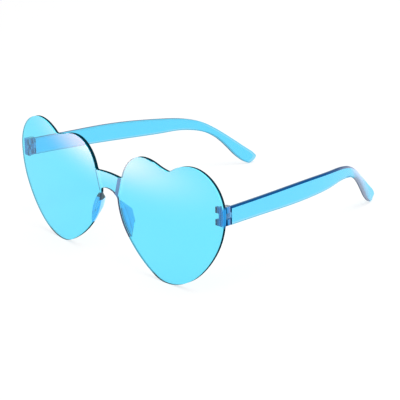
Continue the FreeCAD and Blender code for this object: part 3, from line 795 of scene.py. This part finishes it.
def make_floor():
    mesh = bpy.data.meshes.new("floor")
    bm = bmesh.new()
    bmesh.ops.create_grid(bm, x_segments=1, y_segments=1, size=FLOOR_HALF)
    bm.to_mesh(mesh)
    bm.free()
    mesh.materials.append(floor_white())
    floor = bpy.data.objects.new("floor", mesh)
    bpy.context.scene.collection.objects.link(floor)


WORLD_FILL = 0.6


def make_world():
    """White where it is seen, and a fill light for everything else."""
    world = bpy.data.worlds.new("studio")
    bpy.context.scene.world = world
    n = Nodes(world)
    background = n.add("ShaderNodeBackground")
    background.inputs["Color"].default_value = (1, 1, 1, 1)
    level = n.add("ShaderNodeMapRange")
    level.inputs["To Min"].default_value = WORLD_FILL
    level.inputs["To Max"].default_value = 1.0
    n.link(seen_directly(n), level.inputs["Value"])
    n.link(level.outputs["Result"], background.inputs["Strength"])
    n.finish(background.outputs["Background"], "ShaderNodeOutputWorld")


LAMP_PLACE = Vector((0.45, 0.05, 1.0))
LAMP_SIZE = 0.7
LAMP_POWER = 6.5


def make_lamp():
    """Soft lamp above, turned to the middle of the glasses."""
    data = bpy.data.lights.new("soft lamp", "AREA")
    data.shape = "DISK"
    data.size = LAMP_SIZE
    data.energy = LAMP_POWER
    lamp = bpy.data.objects.new("soft lamp", data)
    lamp.location = LAMP_PLACE
    lamp.rotation_euler = (-LAMP_PLACE).to_track_quat("-Z", "Y").to_euler()
    lamp.visible_glossy = False
    lamp.visible_transmission = False
    bpy.context.scene.collection.objects.link(lamp)


# The highlight: its middle on the sheet, the spread of its panel's light, its strength and colour, and how
# far from the sheet the panel stands, as a share of the camera's distance
GLOW_SIDE = -0.006
GLOW_HEIGHT = 0.051
GLOW_WIDE = 0.044
GLOW_TALL = 0.0075
GLOW_STRENGTH = 10.0
GLOW_COLOR = (1.0, 0.36, 0.18, 1)
GLOW_REACH = 0.14
PANEL_WIDE = 4 * GLOW_WIDE
PANEL_TALL = 3 * GLOW_TALL


def glow_material():
    """A soft light that fades evenly from its middle, and is clear at its rim."""
    n = material_nodes("soft panel")
    split = n.add("ShaderNodeSeparateXYZ")
    n.link(n.object_place(), split.inputs["Vector"])
    squares = []
    for axis, spread in (("X", GLOW_WIDE), ("Y", GLOW_TALL)):
        scaled = n.add("ShaderNodeMath", operation="DIVIDE")
        scaled.inputs[1].default_value = spread
        n.link(split.outputs[axis], scaled.inputs[0])
        square = n.add("ShaderNodeMath", operation="MULTIPLY")
        n.link(scaled.outputs["Value"], square.inputs[0])
        n.link(scaled.outputs["Value"], square.inputs[1])
        squares.append(square.outputs["Value"])
    total = n.add("ShaderNodeMath", operation="ADD")
    n.link(squares[0], total.inputs[0])
    n.link(squares[1], total.inputs[1])
    half = n.add("ShaderNodeMath", operation="MULTIPLY")
    half.inputs[1].default_value = -0.5
    n.link(total.outputs["Value"], half.inputs[0])
    fade = n.add("ShaderNodeMath", operation="EXPONENT")
    n.link(half.outputs["Value"], fade.inputs[0])
    level = n.add("ShaderNodeMath", operation="MULTIPLY")
    level.inputs[1].default_value = GLOW_STRENGTH
    n.link(fade.outputs["Value"], level.inputs[0])
    light = n.add("ShaderNodeEmission")
    light.inputs["Color"].default_value = GLOW_COLOR
    n.link(level.outputs["Value"], light.inputs["Strength"])
    both = n.add("ShaderNodeAddShader")
    n.link(n.clear((1, 1, 1)), both.inputs[0])
    n.link(light.outputs["Emission"], both.inputs[1])
    return n.finish(both.outputs["Shader"])


def make_panel():
    """Small soft panel before the lenses, where the upper middle of both mirrors it to the camera."""
    spot = SIDE * GLOW_SIDE + UP * (GLOW_HEIGHT + LENS_FOOT) + BACK * SHEET_FRONT
    mirrored = CAMERA_PLACE - 2 * (CAMERA_PLACE - spot).dot(BACK) * BACK
    mesh = bpy.data.meshes.new("soft panel")
    bm = bmesh.new()
    bmesh.ops.create_grid(bm, x_segments=1, y_segments=1, size=1.0)
    for vert in bm.verts:
        vert.co.x *= PANEL_WIDE
        vert.co.y *= PANEL_TALL
    bm.to_mesh(mesh)
    bm.free()
    mesh.materials.append(glow_material())
    panel = bpy.data.objects.new("soft panel", mesh)
    panel.matrix_world = Matrix((SIDE, UP, -BACK)).transposed().to_4x4()
    panel.location = spot + (spot - mirrored) * GLOW_REACH
    for kind in ("camera", "diffuse", "transmission", "shadow", "volume_scatter"):
        setattr(panel, f"visible_{kind}", False)
    bpy.context.scene.collection.objects.link(panel)


make_floor()
make_world()
make_panel()
make_lamp()
make_camera()
scene = bpy.context.scene
scene.view_settings.view_transform = "Standard"
